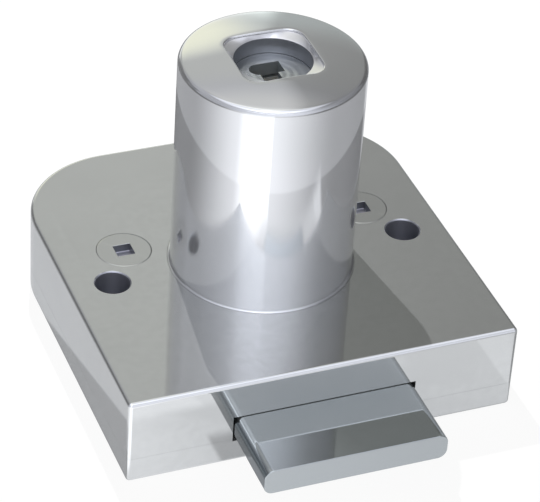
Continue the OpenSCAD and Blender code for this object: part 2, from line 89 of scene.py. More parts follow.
def photo_camera():
    """The view of the photograph: where the camera stands in millimetres, and its turn in radians."""
    azimuth, elevation, roll = 0.4019, 0.6351, 0.0667
    data = bpy.data.cameras.new("photo_camera")
    cam = bpy.data.objects.new("photo_camera", data)
    bpy.context.scene.collection.objects.link(cam)
    ahead = Vector((math.sin(azimuth) * math.cos(elevation), math.cos(azimuth) * math.cos(elevation),
                    -math.sin(elevation)))
    level = ahead.cross(Vector((0, 0, 1))).normalized()
    above = level.cross(ahead)
    right = level * math.cos(roll) + above * math.sin(roll)
    top = above * math.cos(roll) - level * math.sin(roll)
    turn = Matrix((right, top, -ahead)).transposed().to_4x4()
    stand = Vector((-103.741, -246.049, 197.772)) * MM
    cam.matrix_world = Matrix.Translation(stand) @ turn
    data.sensor_width = 36
    data.lens = 184.69
    data.shift_x, data.shift_y = 0.0045, -0.0015
    data.clip_start, data.clip_end = 0.01, 10
    bpy.context.scene.camera = cam


class Term:
    """Output of a node that adds, takes away and multiplies as a number does."""

    def __init__(self, nodes, socket):
        self.nodes, self.socket = nodes, socket

    def __add__(self, other):
        return self.nodes.math("ADD", self, other)

    def __sub__(self, other):
        return self.nodes.math("SUBTRACT", self, other)

    def __rsub__(self, other):
        return self.nodes.math("SUBTRACT", other, self)

    def __mul__(self, other):
        return self.nodes.math("MULTIPLY", self, other)

    def __truediv__(self, other):
        return self.nodes.math("DIVIDE", self, other)

    def __pow__(self, other):
        return self.nodes.math("POWER", self.nodes.math("MAXIMUM", self, 0.0), other)

    def __abs__(self):
        return self.nodes.math("ABSOLUTE", self)

    __radd__, __rmul__ = __add__, __mul__


class Nodes:
    """Places shader nodes and joins them."""

    def __init__(self, tree):
        self.tree = tree

    def add(self, kind, **settings):
        node = self.tree.nodes.new(kind)
        for name, value in settings.items():
            setattr(node, name, value)
        return node

    def put(self, source, socket):
        if isinstance(source, (int, float, tuple)):
            socket.default_value = source
        else:
            self.tree.links.new(source.socket if isinstance(source, Term) else source, socket)

    def math(self, operation, *terms):
        node = self.add("ShaderNodeMath", operation=operation)
        for socket, term in zip(node.inputs, terms):
            self.put(term, socket)
        return Term(self, node.outputs[0])

    def step(self, value, start, end, low=0.0, high=1.0):
        """Soft step from low to high as value runs from start to end."""
        node = self.add("ShaderNodeMapRange", interpolation_type="SMOOTHSTEP")
        for name, term in (("Value", value), ("From Min", start), ("From Max", end), ("To Min", low),
                           ("To Max", high)):
            self.put(term, node.inputs[name])
        return Term(self, node.outputs["Result"])

    def mix(self, share, first, second):
        node = self.add("ShaderNodeMix", data_type="RGBA")
        for name, term in ((0, share), (6, first), (7, second)):
            self.put(term, node.inputs[name])
        return Term(self, node.outputs[2])

    def place(self, kind="Object", scale=1 / MM):
        """The three coordinates of a point, in millimetres."""
        split = self.add("ShaderNodeSeparateXYZ")
        self.put(self.add("ShaderNodeTexCoord").outputs[kind], split.inputs[0])
        return [Term(self, out) * scale for out in split.outputs]

    def away(self, x, y):
        return self.math("SQRT", x * x + y * y + 1e-9)

    def toward(self, x, y, degrees):
        """Cosine between the level direction (x, y) and a bearing, which is 0 along +Y and 90 along +X."""
        bearing = math.radians(degrees)
        return (x * math.sin(bearing) + y * math.cos(bearing)) / self.away(x, y)

    def within(self, x, y, bearing, outer, inner):
        """Soft mask of the bearings about one bearing, full inside inner degrees and gone at outer."""
        start, end = (math.cos(math.radians(degrees)) for degrees in (outer, inner))
        return self.step(self.toward(x, y, bearing), start, end)


def softbox_core(n, x, y):
    """Brightest bearings of the softbox, which the floor throws back too."""
    return n.within(x, y, -135, 28.5, 27.5) * n.within(x, y, -155, 31, 17)


def studio_world():
    """White to the camera. The metal mirrors a softbox in front, a window behind and a light ceiling.

    A direction is given by its bearing and by z, the sine of its height above the level."""
    world = bpy.data.worlds.new("studio")
    bpy.context.scene.world = world
    world.use_nodes = True
    world.node_tree.nodes.clear()
    n = Nodes(world.node_tree)
    x, y, z = n.place("Generated", 1.0)
    path = n.add("ShaderNodeLightPath").outputs
    camera, glossy = Term(n, path["Is Camera Ray"]), Term(n, path["Is Glossy Ray"])
    # the window's right border leans out and softens above the height that the case mirrors
    above = n.math("MAXIMUM", z - 0.61, 0.0)
    window = n.step(n.toward(x, y, 5), 0.944 - above * 0.5, 0.962 - above * 0.12)
    # a wall on the left that fades towards the front, and three darker places low in the room
    wall = n.step(n.toward(x, y, -60), -0.2, 0.7) * n.step(n.toward(x, y, -165), 0.1, 0.8, 1.0, 0.2)
    low_wall = n.within(x, y, -40, 29, 20) * n.step(z, 0.47, 0.42) * 0.6
    low_wall = low_wall + n.within(x, y, -25, 26, 14) * n.step(z, 0.72, 0.60) * 0.27
    low_wall = n.math("MAXIMUM", low_wall, n.within(x, y, 60, 22, 14) * n.step(z, 0.50, 0.38) * 0.9)
    # the softbox: its panel, the glow under it and the glow over it
    panel = n.step(z, 0.6165, 0.606) * n.step(z, 0.53, 0.56)
    left_side = n.step(n.toward(x, y, -75), 0.95, 0.1, 0.54, 1.0)
    box = n.toward(x, y, -148) ** 2 * 1.14 * left_side + softbox_core(n, x, y) * 0.42
    softbox = panel * box + n.step(z, 0.56, 0.50, 0.74, 1.1) * n.toward(x, y, -163) ** 2
    front = n.toward(x, y, -157)
    softbox = softbox + n.step(z, 0.66, 0.80) * front * 0.7 * n.step(front, 0.0, 0.3)
    side_light = (panel * 0.08 + 0.15) * n.toward(x, y, 130) ** 3
    # a low warm sun in the window, haze beside it and the ceiling
    inner, outer = math.cos(math.radians(3)), math.cos(math.radians(13))
    sun = n.step(x * 0.146 + y * 0.922 + z * 0.358, outer, inner)
    haze = n.within(x, y, 31, 15, 4) * n.step(z, 0.45, 0.24)
    ceiling = n.step(z, 0.80, 0.92) * 0.75 + n.within(x, y, 20, 24, 3) * n.step(z, 0.69, 0.80) * 0.22
    level = (n.math("MAXIMUM", wall, window) * 0.3 + 0.12) * (1.0 - low_wall)
    level = level + softbox + side_light + sun * 0.54 + haze * 0.13 + ceiling
    level = level + window * n.step(z, 0.32, 0.14) * 0.55
    # the light is cool, less so from behind below the ceiling; the sun is yellow and the haze greenish
    warm = n.step(n.toward(x, y, 20), 0.6, 0.93) * n.step(z, 0.8, 0.6)
    tint = n.mix(warm, (0.94, 0.97, 1.07, 1), (1.0, 1.03, 0.98, 1))
    tint = n.mix(n.step(z, 0.69, 0.78) * n.within(x, y, 20, 40, 20), tint, (1.0, 1.01, 1.0, 1))
    tint = n.mix(haze, n.mix(sun * 0.9, tint, (1.03, 1.04, 0.78, 1)), (0.94, 1.06, 1.02, 1))
    colour = n.mix(camera, n.mix(glossy, (1, 1, 1, 1), tint), (1, 1, 1, 1))
    back = n.add("ShaderNodeBackground")
    n.put(colour, back.inputs["Color"])
    neither = 1.0 - n.math("MAXIMUM", camera, glossy)
    n.put(camera + glossy * level + neither * 0.35, back.inputs["Strength"])
    n.put(back.outputs[0], n.add("ShaderNodeOutputWorld").inputs["Surface"])


def pale_floor():
    """White floor with the lock's soft shadow. To reflections it glows with painted pools of light, painted
    strips of light and shade by the case and a painted shadow of the bolt, which the metal shows.
    """
    # a hair below the cover, so that the two faces don't lie in one plane
    bpy.ops.mesh.primitive_plane_add(size=6, location=(0, 0, BACK * MM - 0.00005))
    floor = bpy.context.object
    floor.name = "floor"
    bpy.ops.object.transform_apply(location=True, scale=True)
    coat = bpy.data.materials.new("pale_floor")
    coat.use_nodes = True
    coat.node_tree.nodes.clear()
    n = Nodes(coat.node_tree)
    x, y, _ = n.place()
    path = n.add("ShaderNodeLightPath").outputs
    camera, glossy = Term(n, path["Is Camera Ray"]), Term(n, path["Is Glossy Ray"])
    # painted pools of light about the lock's middle, in the glow that reflections see: softbox, side light, a
    # brighter ring further out, dark in the distance
    yc = y - 3.0
    away = n.away(x, yc)
    painted_pool = n.step(x, 10, -30, 0.20, 0.28) + n.toward(x, yc, -150) ** 2 + softbox_core(n, x, yc) * 0.45
    painted_pool = painted_pool + n.toward(x, yc, 130) ** 3 * 0.1 + n.step(away, 53.7, 54.3) * 0.18
    painted_pool = painted_pool + n.within(x, yc, 42, 22, 12) * 0.35
    painted_pool = painted_pool * n.step(away, 80, 115, 1.0, n.within(x, yc, -157, 60, 20) * 0.45 + 0.3)
    # painted strips of light and shade on the floor close to the case, which its own sides mirror
    along = n.math("MAXIMUM", n.math("MAXIMUM", -FRONT - y, y - REAR), 0.0)
    gap = n.away(n.math("MAXIMUM", abs(x) - SIDE, 0.0), along)
    ahead = n.step(y, -21.5, -22.5)
    left = n.step(x, -20, -22)
    beside = (n.step(gap, 9.8, 9.2) * left + n.step(gap, 18, 2) * (1.0 - left)) * (1.0 - ahead)
    painted_strip = n.step(x - y * 0.158, -26.0, -25.6, 0.66, 0.43)
    # the apron in front with a painted shadow of the bolt; the front face mirrors lines of one slant as
    # upright lines
    slant = x + y * 0.426
    apron = ahead * n.step(y, -45, -37.5) * n.step(slant, -36.6, -33.6) * n.step(slant, 18.5, 14.8)
    near = n.step(x, -22, -8, 1.03, 0.85) + n.step(x, 25.2, 25.6, 0, 0.12)
    near = near * (1.0 - n.step(abs(x), 12.8, 12.0) * n.step(y, -28, -26) * 0.4)
    far = painted_pool * 0.25 + 0.75
    past = n.step(y, -31.5, -33.5) * n.step(x, 16, 15)
    lit = near * (1.0 - past) + far * past
    seen = beside * painted_strip + (1.0 - beside) * painted_pool
    seen = apron * lit + (1.0 - apron) * seen
    glow = n.add("ShaderNodeEmission")
    n.put(n.mix(glossy, (1, 1, 1, 1), (0.965, 0.98, 1.02, 1)), glow.inputs["Color"])
    n.put(camera * 0.92 + glossy * seen, glow.inputs["Strength"])
    matt = n.add("ShaderNodeBsdfDiffuse")
    plain = n.mix(camera, (0.8, 0.8, 0.8, 1), (0.10, 0.10, 0.10, 1))
    n.put(n.mix(glossy, plain, (0, 0, 0, 1)), matt.inputs["Color"])
    both = n.add("ShaderNodeAddShader")
    n.put(glow.outputs[0], both.inputs[0])
    n.put(matt.outputs[0], both.inputs[1])
    n.put(both.outputs[0], n.add("ShaderNodeOutputMaterial").inputs["Surface"])
    floor.data.materials.append(coat)


def lamp(name, kind, place, power, size):
    data = bpy.data.lights.new(name, kind)
    data.energy = power
    if kind == "AREA":
        data.size = size
    else:
        data.shadow_soft_size = size
    thing = bpy.data.objects.new(name, data)
    bpy.context.scene.collection.objects.link(thing)
    thing.location = Vector(place) * MM
    thing.rotation_euler = (-thing.location).to_track_quat("-Z", "Y").to_euler()
    return thing


def studio_lamps():
    """A sharp lamp behind and a broad weak one in front. The metal doesn't mirror either."""
    rear = lamp("rear_lamp", "POINT", (0, 84, 150), 0.91, 0.0006)
    front = lamp("front_lamp", "AREA", (-130, -330, 150), 0.15, 0.12)
    rear.visible_glossy = front.visible_glossy = False


# finishes

def polish_group():
    """Faint polishing marks and smudges, in millimetres of the piece's own place."""
    group = bpy.data.node_groups.new("polish_marks", "ShaderNodeTree")
    for name, kind, way, value in (
            ("Grain", "NodeSocketFloat", "INPUT", 3.0), ("Smudge", "NodeSocketFloat", "INPUT", 0.02),
            ("Roughness", "NodeSocketFloat", "INPUT", 0.05), ("Roughness", "NodeSocketFloat", "OUTPUT", 0.05),
            ("Height", "NodeSocketFloat", "OUTPUT", 0.0), ("Tone", "NodeSocketFloat", "OUTPUT", 0.5)):
        socket = group.interface.new_socket(name=name, in_out=way, socket_type=kind)
        if way == "INPUT":
            socket.default_value = value
    n = Nodes(group)
    given, out = n.add("NodeGroupInput"), n.add("NodeGroupOutput")
    place = n.add("ShaderNodeTexCoord").outputs["Object"]

    def cloud(scale, detail, stretch=(1, 1, 1), turn=(0, 0, 0)):
        mapping = n.add("ShaderNodeMapping")
        n.put(place, mapping.inputs["Vector"])
        mapping.inputs["Scale"].default_value = tuple(s / MM for s in stretch)
        mapping.inputs["Rotation"].default_value = turn
        noise = n.add("ShaderNodeTexNoise")
        n.put(mapping.outputs[0], noise.inputs["Vector"])
        n.put(scale, noise.inputs["Scale"])
        noise.inputs["Detail"].default_value = detail
        return Term(n, noise.outputs["Fac"])

    smear = cloud(0.11, 3.0)
    lines = cloud(given.outputs["Grain"], 2.0, (0.08, 2.4, 0.6), (0, 0, 0.5))
    fine = cloud(given.outputs["Grain"], 2.0, (2.0, 0.06, 0.6), (0, 0, 0.2))
    scratch = n.step(lines, 0.70, 0.78)
    uneven = n.step(smear, 0.4, 0.75) * given.outputs["Smudge"]
    n.put(uneven + scratch * 0.05 + given.outputs["Roughness"], out.inputs["Roughness"])
    n.put(lines + fine * 0.7, out.inputs["Height"])
    n.put(n.step(smear, 0.3, 0.7), out.inputs["Tone"])
    return group


def wear_group():
    """Mask of the edges that hands and the lock's mate have rubbed."""
    group = bpy.data.node_groups.new("rubbed_edges", "ShaderNodeTree")
    group.interface.new_socket(name="Mask", in_out="OUTPUT", socket_type="NodeSocketFloat")
    reach = group.interface.new_socket(name="Reach", in_out="INPUT", socket_type="NodeSocketFloat")
    reach.default_value = 0.06
    n = Nodes(group)
    given, out = n.add("NodeGroupInput"), n.add("NodeGroupOutput")
    edge = n.add("ShaderNodeNewGeometry").outputs["Pointiness"]
    mapping = n.add("ShaderNodeMapping")
    n.put(n.add("ShaderNodeTexCoord").outputs["Object"], mapping.inputs["Vector"])
    mapping.inputs["Scale"].default_value = (1 / MM, 1 / MM, 1 / MM)
    noise = n.add("ShaderNodeTexNoise")
    n.put(mapping.outputs[0], noise.inputs["Vector"])
    noise.inputs["Scale"].default_value = 0.9
    broken = n.step(noise.outputs["Fac"], 0.35, 0.65, 0.4, 1.0)
    n.put(n.step(edge, 0.5, Term(n, given.outputs["Reach"]) + 0.5) * broken, out.inputs["Mask"])
    return group


POLISH = polish_group()
RUBBED = wear_group()


def metal(name, light, dark, roughness, metallic=0.8, grain=3.0, smudge=0.006, bump=0.01, turned=None,
          painted_light_and_finish=()):
    """A plated or bare metal: two tones that drift over the piece, edges rubbed lighter, polishing marks.

    turned is the pitch of the rings that a lathe leaves, in millimetres. The last argument lists places with
    painted shade or highlights and places finished otherwise: a mask of x, y and z in millimetres, a colour,
    and how much rougher the place is."""
    finish = bpy.data.materials.new(name)
    finish.use_nodes = True
    n = Nodes(finish.node_tree)
    shader = finish.node_tree.nodes["Principled BSDF"]
    marks = n.add("ShaderNodeGroup", node_tree=POLISH)
    marks.inputs["Grain"].default_value = grain
    marks.inputs["Smudge"].default_value = smudge
    marks.inputs["Roughness"].default_value = roughness
    worn = n.add("ShaderNodeGroup", node_tree=RUBBED)
    edge = Term(n, worn.outputs["Mask"]) * 0.5
    tone = n.mix(marks.outputs["Tone"], dark, light)
    bright = tuple(min(1.0, c * 1.08) for c in light[:3]) + (1,)
    colour, rough = n.mix(edge, tone, bright), edge * 0.05 + marks.outputs["Roughness"]
    spot = n.place() if painted_light_and_finish or turned else None
    for where, plain, coarse in painted_light_and_finish:
        share = where(n, *spot)
        colour, rough = n.mix(share, colour, plain), rough + share * coarse
    n.put(colour, shader.inputs["Base Color"])
    n.put(rough, shader.inputs["Roughness"])
    shader.inputs["Metallic"].default_value = metallic
    relief = n.add("ShaderNodeBump")
    relief.inputs["Strength"].default_value = bump
    relief.inputs["Distance"].default_value = 0.00002
    height = Term(n, marks.outputs["Height"])
    if turned:
        height = height + n.math("SINE", n.away(*spot[:2]) * (2 * math.pi / turned)) * 0.8
    n.put(height, relief.inputs["Height"])
    n.put(relief.outputs[0], shader.inputs["Normal"])
    return finish


# places with painted shade and highlights, and places finished otherwise than the rest of their piece, as
# soft masks

def holes_painted_shade(n, x, y, z):
    """Walls and mouth chamfers of the mounting holes, rougher and painted darker as shade."""
    off_axis = n.away(abs(x) - HOLE_X, y - HOLE_Y)
    return n.step(off_axis, HOLE_R + 0.34, HOLE_R + 0.30) * n.step(z, -0.01, -0.04)


def front_edge_painted_highlight(n, x, y, z):
    """Round border between the case's mounting face and its front, painted lighter as a highlight."""
    return n.step(y, -FRONT + 0.45, -FRONT + 0.3) * n.step(z, -0.46, -0.34)


def on_foot(n, x, y, z):
    """Lower part of the barrel, which a buffing wheel reaches less well."""
    return n.step(z, 16, 11)


def rough_slope_painted_sheen(n, x, y, z):
    """Slope of the barrel's recess, well below the crown: rougher, and painted a little lighter as sheen."""
    below_crown = crown(0) - n.away(x, y) ** 2 / (2 * CROWN_R) - z
    return n.step(n.away(x, y), 6.8, 6.7) * n.step(below_crown, 0.10, 0.20)


def well_painted_shade(n, x, y, z):
    """Wall of the key well and the bore under it, painted dark as shade."""
    inside = n.step(n.away(x, y), WELL_RIM_R - 0.02, WELL_RIM_R - 0.04)
    return inside * n.step(z, WELL_Z - 0.01, WELL_Z - 0.05)


def socket_painted_shade(n, x, y, z):
    """Walls of the screws' square sockets, painted dark as shade, and rougher."""
    off_axis = n.away(abs(x) - HEAD_X, y - HEAD_Y)
    return n.step(off_axis, 1.7, 1.65) * n.step(z, -0.02, -0.06)


def socket_floor(n, x, y, z):
    """Floor of the screws' square sockets."""
    return n.step(z, -0.98, -1.02) * n.step(z, -1.3, -1.2)


def bolt_sides_painted_shade(n, x, y, z):
    """Long sides of the bolt, past the round edges, painted dark as shade."""
    return n.step(abs(x), BOLT_X - 0.7, BOLT_X - 0.2)


def bolt_end_painted_shade(n, x, y, z):
    """Flat end of the bolt, painted darker as shade, and a little rougher."""
    return n.step(y, BOLT_END + 0.06, BOLT_END + 0.03)


def keyway_painted_shade(n, x, y, z):
    """Walls of the keyway in the guard, just under its upper side, painted darker as shade, and rougher."""
    return n.step(z, BORE_TOP - 0.06, BORE_TOP - 0.1)


# modelling helpers

def only(piece):
    bpy.ops.object.select_all(action="DESELECT")
    piece.select_set(True)
    bpy.context.view_layer.objects.active = piece


def choose(piece, kind, test):
    """In edit mode, selects only the vertices, edges or faces for which test is true."""
    bpy.ops.mesh.select_all(action="DESELECT")
    bpy.ops.mesh.select_mode(type=kind)
    shape = bmesh.from_edit_mesh(piece.data)
    found = {"VERT": shape.verts, "EDGE": shape.edges, "FACE": shape.faces}[kind]
    for item in found:
        if test(item):
            item.select_set(True)
    shape.select_flush_mode()
    bmesh.update_edit_mesh(piece.data)


def middle(item):
    """Middle of a face or an edge, in millimetres."""
    return sum((v.co for v in item.verts), Vector()) / len(item.verts) / MM


def cut(piece, cutter, operation="DIFFERENCE"):
    only(piece)
    m = piece.modifiers.new("cut", "BOOLEAN")
    m.operation, m.object, m.solver = operation, cutter, "EXACT"
    bpy.ops.object.modifier_apply(modifier=m.name)
    bpy.data.objects.remove(cutter, do_unlink=True)


def rod(name, x, y, z0, z1, radius, sides=96, top=None):
    """Round bar or cone between two heights, its lower radius first."""
    place = (x * MM, y * MM, (z0 + z1) / 2 * MM)
    if top is None:
        bpy.ops.mesh.primitive_cylinder_add(vertices=sides, radius=radius * MM, depth=(z1 - z0) * MM,
                                            location=place)
    else:
        bpy.ops.mesh.primitive_cone_add(vertices=sides, radius1=radius * MM, radius2=top * MM,
                                        depth=(z1 - z0) * MM, location=place)
    bar = bpy.context.object
    bar.name = name
    only(bar)
    bpy.ops.object.transform_apply(location=True, rotation=True, scale=True)
    return bar


def block(name, x0, x1, y0, y1, z0, z1):
    centre = ((x0 + x1) / 2 * MM, (y0 + y1) / 2 * MM, (z0 + z1) / 2 * MM)
    span = ((x1 - x0) * MM, (y1 - y0) * MM, (z1 - z0) * MM)
    bpy.ops.mesh.primitive_cube_add(size=1, location=centre, scale=span)
    box = bpy.context.object
    box.name = name
    only(box)
    bpy.ops.object.transform_apply(location=True, rotation=True, scale=True)
    return box


def smooth(piece, degrees=32):
    """Smooth shading over edges flatter than an angle, with the large faces kept flat."""
    only(piece)
    bpy.ops.object.shade_smooth_by_angle(angle=math.radians(degrees))
    m = piece.modifiers.new("flat_faces_lead", "WEIGHTED_NORMAL")
    m.keep_sharp = True
    m.weight = 100
    bpy.ops.object.modifier_apply(modifier=m.name)


def dress(piece, finish, body, node):
    """Gives a piece its finish, its body and the node that it stands for."""
    piece.data.materials.clear()
    piece.data.materials.append(finish)
    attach(piece, body)
    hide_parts(node)


def join(pieces, name):
    bpy.ops.object.select_all(action="DESELECT")
    for p in pieces:
        p.select_set(True)
    bpy.context.view_layer.objects.active = pieces[0]
    bpy.ops.object.join()
    pieces[0].name = name
    return pieces[0]


def loft(name, loops, cap_first=False, cap_last=False):
    """A skin extruded loop by loop. All loops have as many points, given in millimetres."""
    bpy.ops.object.select_all(action="DESELECT")
    bpy.ops.mesh.primitive_circle_add(vertices=len(loops[0]), radius=MM, fill_type="NOTHING")
    piece = bpy.context.object
    piece.name = name
    bpy.ops.object.mode_set(mode="EDIT")
    shape = bmesh.from_edit_mesh(piece.data)
    place = shape.verts.layers.int.new("place")
    for i, v in enumerate(shape.verts):
        v[place] = i
        v.co = Vector(loops[0][i]) * MM
    bmesh.update_edit_mesh(piece.data)
    if cap_first:
        bpy.ops.mesh.select_all(action="SELECT")
        bpy.ops.mesh.edge_face_add()
        choose(piece, "EDGE", lambda edge: True)
    bpy.ops.mesh.select_mode(type="EDGE")
    for loop in loops[1:]:
        bpy.ops.mesh.extrude_edges_move()
        shape = bmesh.from_edit_mesh(piece.data)
        place = shape.verts.layers.int["place"]
        for v in shape.verts:
            if v.select:
                v.co = Vector(loop[v[place]]) * MM
        bmesh.update_edit_mesh(piece.data)
    if cap_last:
        bpy.ops.mesh.edge_face_add()
    bpy.ops.mesh.select_all(action="SELECT")
    bpy.ops.mesh.remove_doubles(threshold=1e-7)
    bpy.ops.mesh.select_all(action="SELECT")
    bpy.ops.mesh.normals_make_consistent(inside=False)
    bpy.ops.object.mode_set(mode="OBJECT")
    piece.data.attributes.remove(piece.data.attributes["place"])
    return piece


def ring(radius, z, count=144):
    angles = [2 * math.pi * i / count for i in range(count)]
    return [(radius * math.cos(a), radius * math.sin(a), z) for a in angles]


def soft_square(half, corner, z, count=144):
    """Loop of a square with round corners; z is a height, or a function of the distance from the middle."""
    points = []
    c = half - corner
    for i in range(count):
        a = 2 * math.pi * i / count
        ca, sa = abs(math.cos(a)), abs(math.sin(a))
        big, small = max(ca, sa), min(ca, sa)
        if half * small / big <= c:
            r = half / big
        else:
            s = ca + sa
            r = c * s + math.sqrt(max(0.0, c * c * s * s - 2 * c * c + corner * corner))
        points.append((r * math.cos(a), r * math.sin(a), z(r) if callable(z) else z))
    return points


def fillet(r0, z0, r1, z1, steps):
    """Points of a hollow quarter round between two (radius, height) pairs."""
    found = []
    for k in range(steps + 1):
        t = math.pi / 2 * k / steps
        found.append((r0 + (r1 - r0) * math.sin(t), z0 + (z1 - z0) * (1 - math.cos(t))))
    return found


# the pieces that show

def crown(r):
    """Height of the key face at a distance from the axis."""
    rise = RIM_Z - math.sqrt((CROWN_R - RIM_R) ** 2 - (BARREL_R - RIM_R) ** 2)
    return rise + math.sqrt(CROWN_R ** 2 - r * r)


def dished(x, y, u):
    """Point of the recess's slope, a share u of the way from the key well's rim out to (x, y)."""
    far = math.hypot(x, y)
    r = WELL_RIM_R * (1 - u) + far * u
    return x * r / far, y * r / far, WELL_Z + (crown(far) - LIP_DROP - WELL_Z) * u


def bore_loops():
    """Bore with the circlip's groove, then the key well and its broken rim."""
    loops = [ring(BORE_R, FLANGE_Z), ring(BORE_R, CLIP_LO), ring(CLIP_R, CLIP_LO), ring(CLIP_R, CLIP_HI)]
    loops += [ring(BORE_R, CLIP_HI), ring(BORE_R, BORE_TOP), ring(WELL_R, BORE_TOP)]
    return loops + [ring(WELL_R, WELL_Z - 0.09), ring(WELL_R + 0.02, WELL_Z - 0.03), ring(WELL_RIM_R, WELL_Z)]


def recess_loops():
    """Slope from the key well's rim out to the soft square, and the rounded lip."""
    inner, corner = RECESS - LIP, RECESS_R - LIP
    edge = soft_square(inner, corner, 0)
    loops = [[dished(x, y, k / 7) for x, y, _ in edge] for k in range(1, 8)]
    for k in range(1, 9):
        t = math.pi / 2 * k / 8
        grow, drop = LIP * (1 - math.cos(t)), LIP_DROP * (1 - math.sin(t))
        loops.append(soft_square(inner + grow, corner + grow, lambda r, d=drop: crown(r) - d))
    return loops


def crown_loops():
    """Key face from the soft square out to the round rim, then the rim."""
    rim = BARREL_R - RIM_R
    slope = math.asin(rim / (CROWN_R - RIM_R))
    outer = rim + RIM_R * math.sin(slope)
    edge = soft_square(RECESS, RECESS_R, 0)
    loops = []
    for k in range(1, 9):
        points = []
        for i, (x, y, _) in enumerate(edge):
            a = 2 * math.pi * i / len(edge)
            r = math.hypot(x, y) * (1 - k / 8) + outer * k / 8
            points.append((r * math.cos(a), r * math.sin(a), crown(r)))
        loops.append(points)
    for k in range(1, 11):
        t = slope + (math.pi / 2 - slope) * k / 10
        loops.append(ring(rim + RIM_R * math.sin(t), RIM_Z + RIM_R * math.cos(t)))
    return loops


def wall_loops():
    """Wall, foot fillet, and the seat in the case down to the flange."""
    loops = [ring(BARREL_R, z) for z in (20.0, 12.0, 4.0)]
    loops += [ring(r, z) for r, z in reversed(fillet(SEAT_R, 0.0, BARREL_R, FOOT_R, 6))]
    loops += [ring(SEAT_R, -0.15), ring(SEAT_R, -FACE_T), ring(NECK_R, -FACE_T), ring(NECK_R, FLANGE_Z)]
    return loops + [ring(BORE_R, FLANGE_Z)]


def barrel_flange():
    """Flange that four countersunk screws hold to the inner side of the case's face."""
    flange = block("flange", -FLANGE_X, FLANGE_X, -FLANGE_Y, FLANGE_Y, FLANGE_Z, -FACE_T)
    bpy.ops.object.mode_set(mode="EDIT")
    choose(flange, "EDGE", lambda e: abs(e.verts[0].co.z - e.verts[1].co.z) > MM)
    bpy.ops.mesh.bevel(offset=2 * MM, segments=8)
    bpy.ops.object.mode_set(mode="OBJECT")
    cut(flange, rod("bore", 0, 0, -6, 0, 9.0))
    for sx in (-1, 1):
        for sy in (-1, 1):
            x, y = sx * EAR_X, sy * EAR_Y
            cut(flange, rod("screw_hole", x, y, -6, 0, 1.3, 32))
            cut(flange, rod("screw_sink", x, y, FLANGE_Z - 0.01, FLANGE_Z + 1.0, 2.21, 32, top=1.25))
    return flange


def barrel(finish):
    """Polished barrel: bore, key well, recess, crowned key face, wall, foot and flange."""
    piece = loft("polished_barrel", bore_loops() + recess_loops() + crown_loops() + wall_loops())
    cut(piece, barrel_flange(), "UNION")
    # grooves that take the sidebar at either end of the core's turn, and the pocket of the turn's stop
    for x, y in ((0, GROOVE_AT), (GROOVE_AT, 0)):
        cut(piece, rod("groove", x, y, FLANGE_Z - 1, GROOVE_TOP, GROOVE_R, 32))
    arc = [math.radians(STOP_FROM + STOP_SPAN * i / 31) for i in range(32)]
    sector = [(0, 0)] + [(STOP_R * math.cos(a), STOP_R * math.sin(a)) for a in arc]
    stop = [[(x, y, z) for x, y in sector] for z in (FLANGE_Z - 1, STOP_TOP)]
    cut(piece, loft("stop_pocket", stop, True, True))
    smooth(piece)
    dress(piece, finish, "case", "cylinder_housing")


def plate_outline(name, z0, z1, inset=0.0):
    """Solid plate with the case's outline: two tight front corners and two wide rear ones."""
    slab = block(name, -SIDE + inset, SIDE - inset, -FRONT + inset, REAR - inset, z0, z1)
    bpy.ops.object.mode_set(mode="EDIT")

    def upright(edge, rear):
        a, b = (v.co / MM for v in edge.verts)
        return abs(a.z - b.z) > 0.5 and (a.y > 0) == rear

    choose(slab, "EDGE", lambda e: upright(e, True))
    bpy.ops.mesh.bevel(offset=(CORNER - inset) * MM, segments=28)
    choose(slab, "EDGE", lambda e: upright(e, False))
    bpy.ops.mesh.bevel(offset=(EDGE - inset) * MM, segments=6)
    bpy.ops.object.mode_set(mode="OBJECT")
    return slab


def round_border(slab, z, radius, segments=6):
    """Rounds the edges that lie at one height."""
    bpy.ops.object.mode_set(mode="EDIT")
    choose(slab, "EDGE", lambda e: all(abs(v.co.z / MM - z) < 1e-3 for v in e.verts))
    bpy.ops.mesh.bevel(offset=radius * MM, segments=segments)
    bpy.ops.object.mode_set(mode="OBJECT")


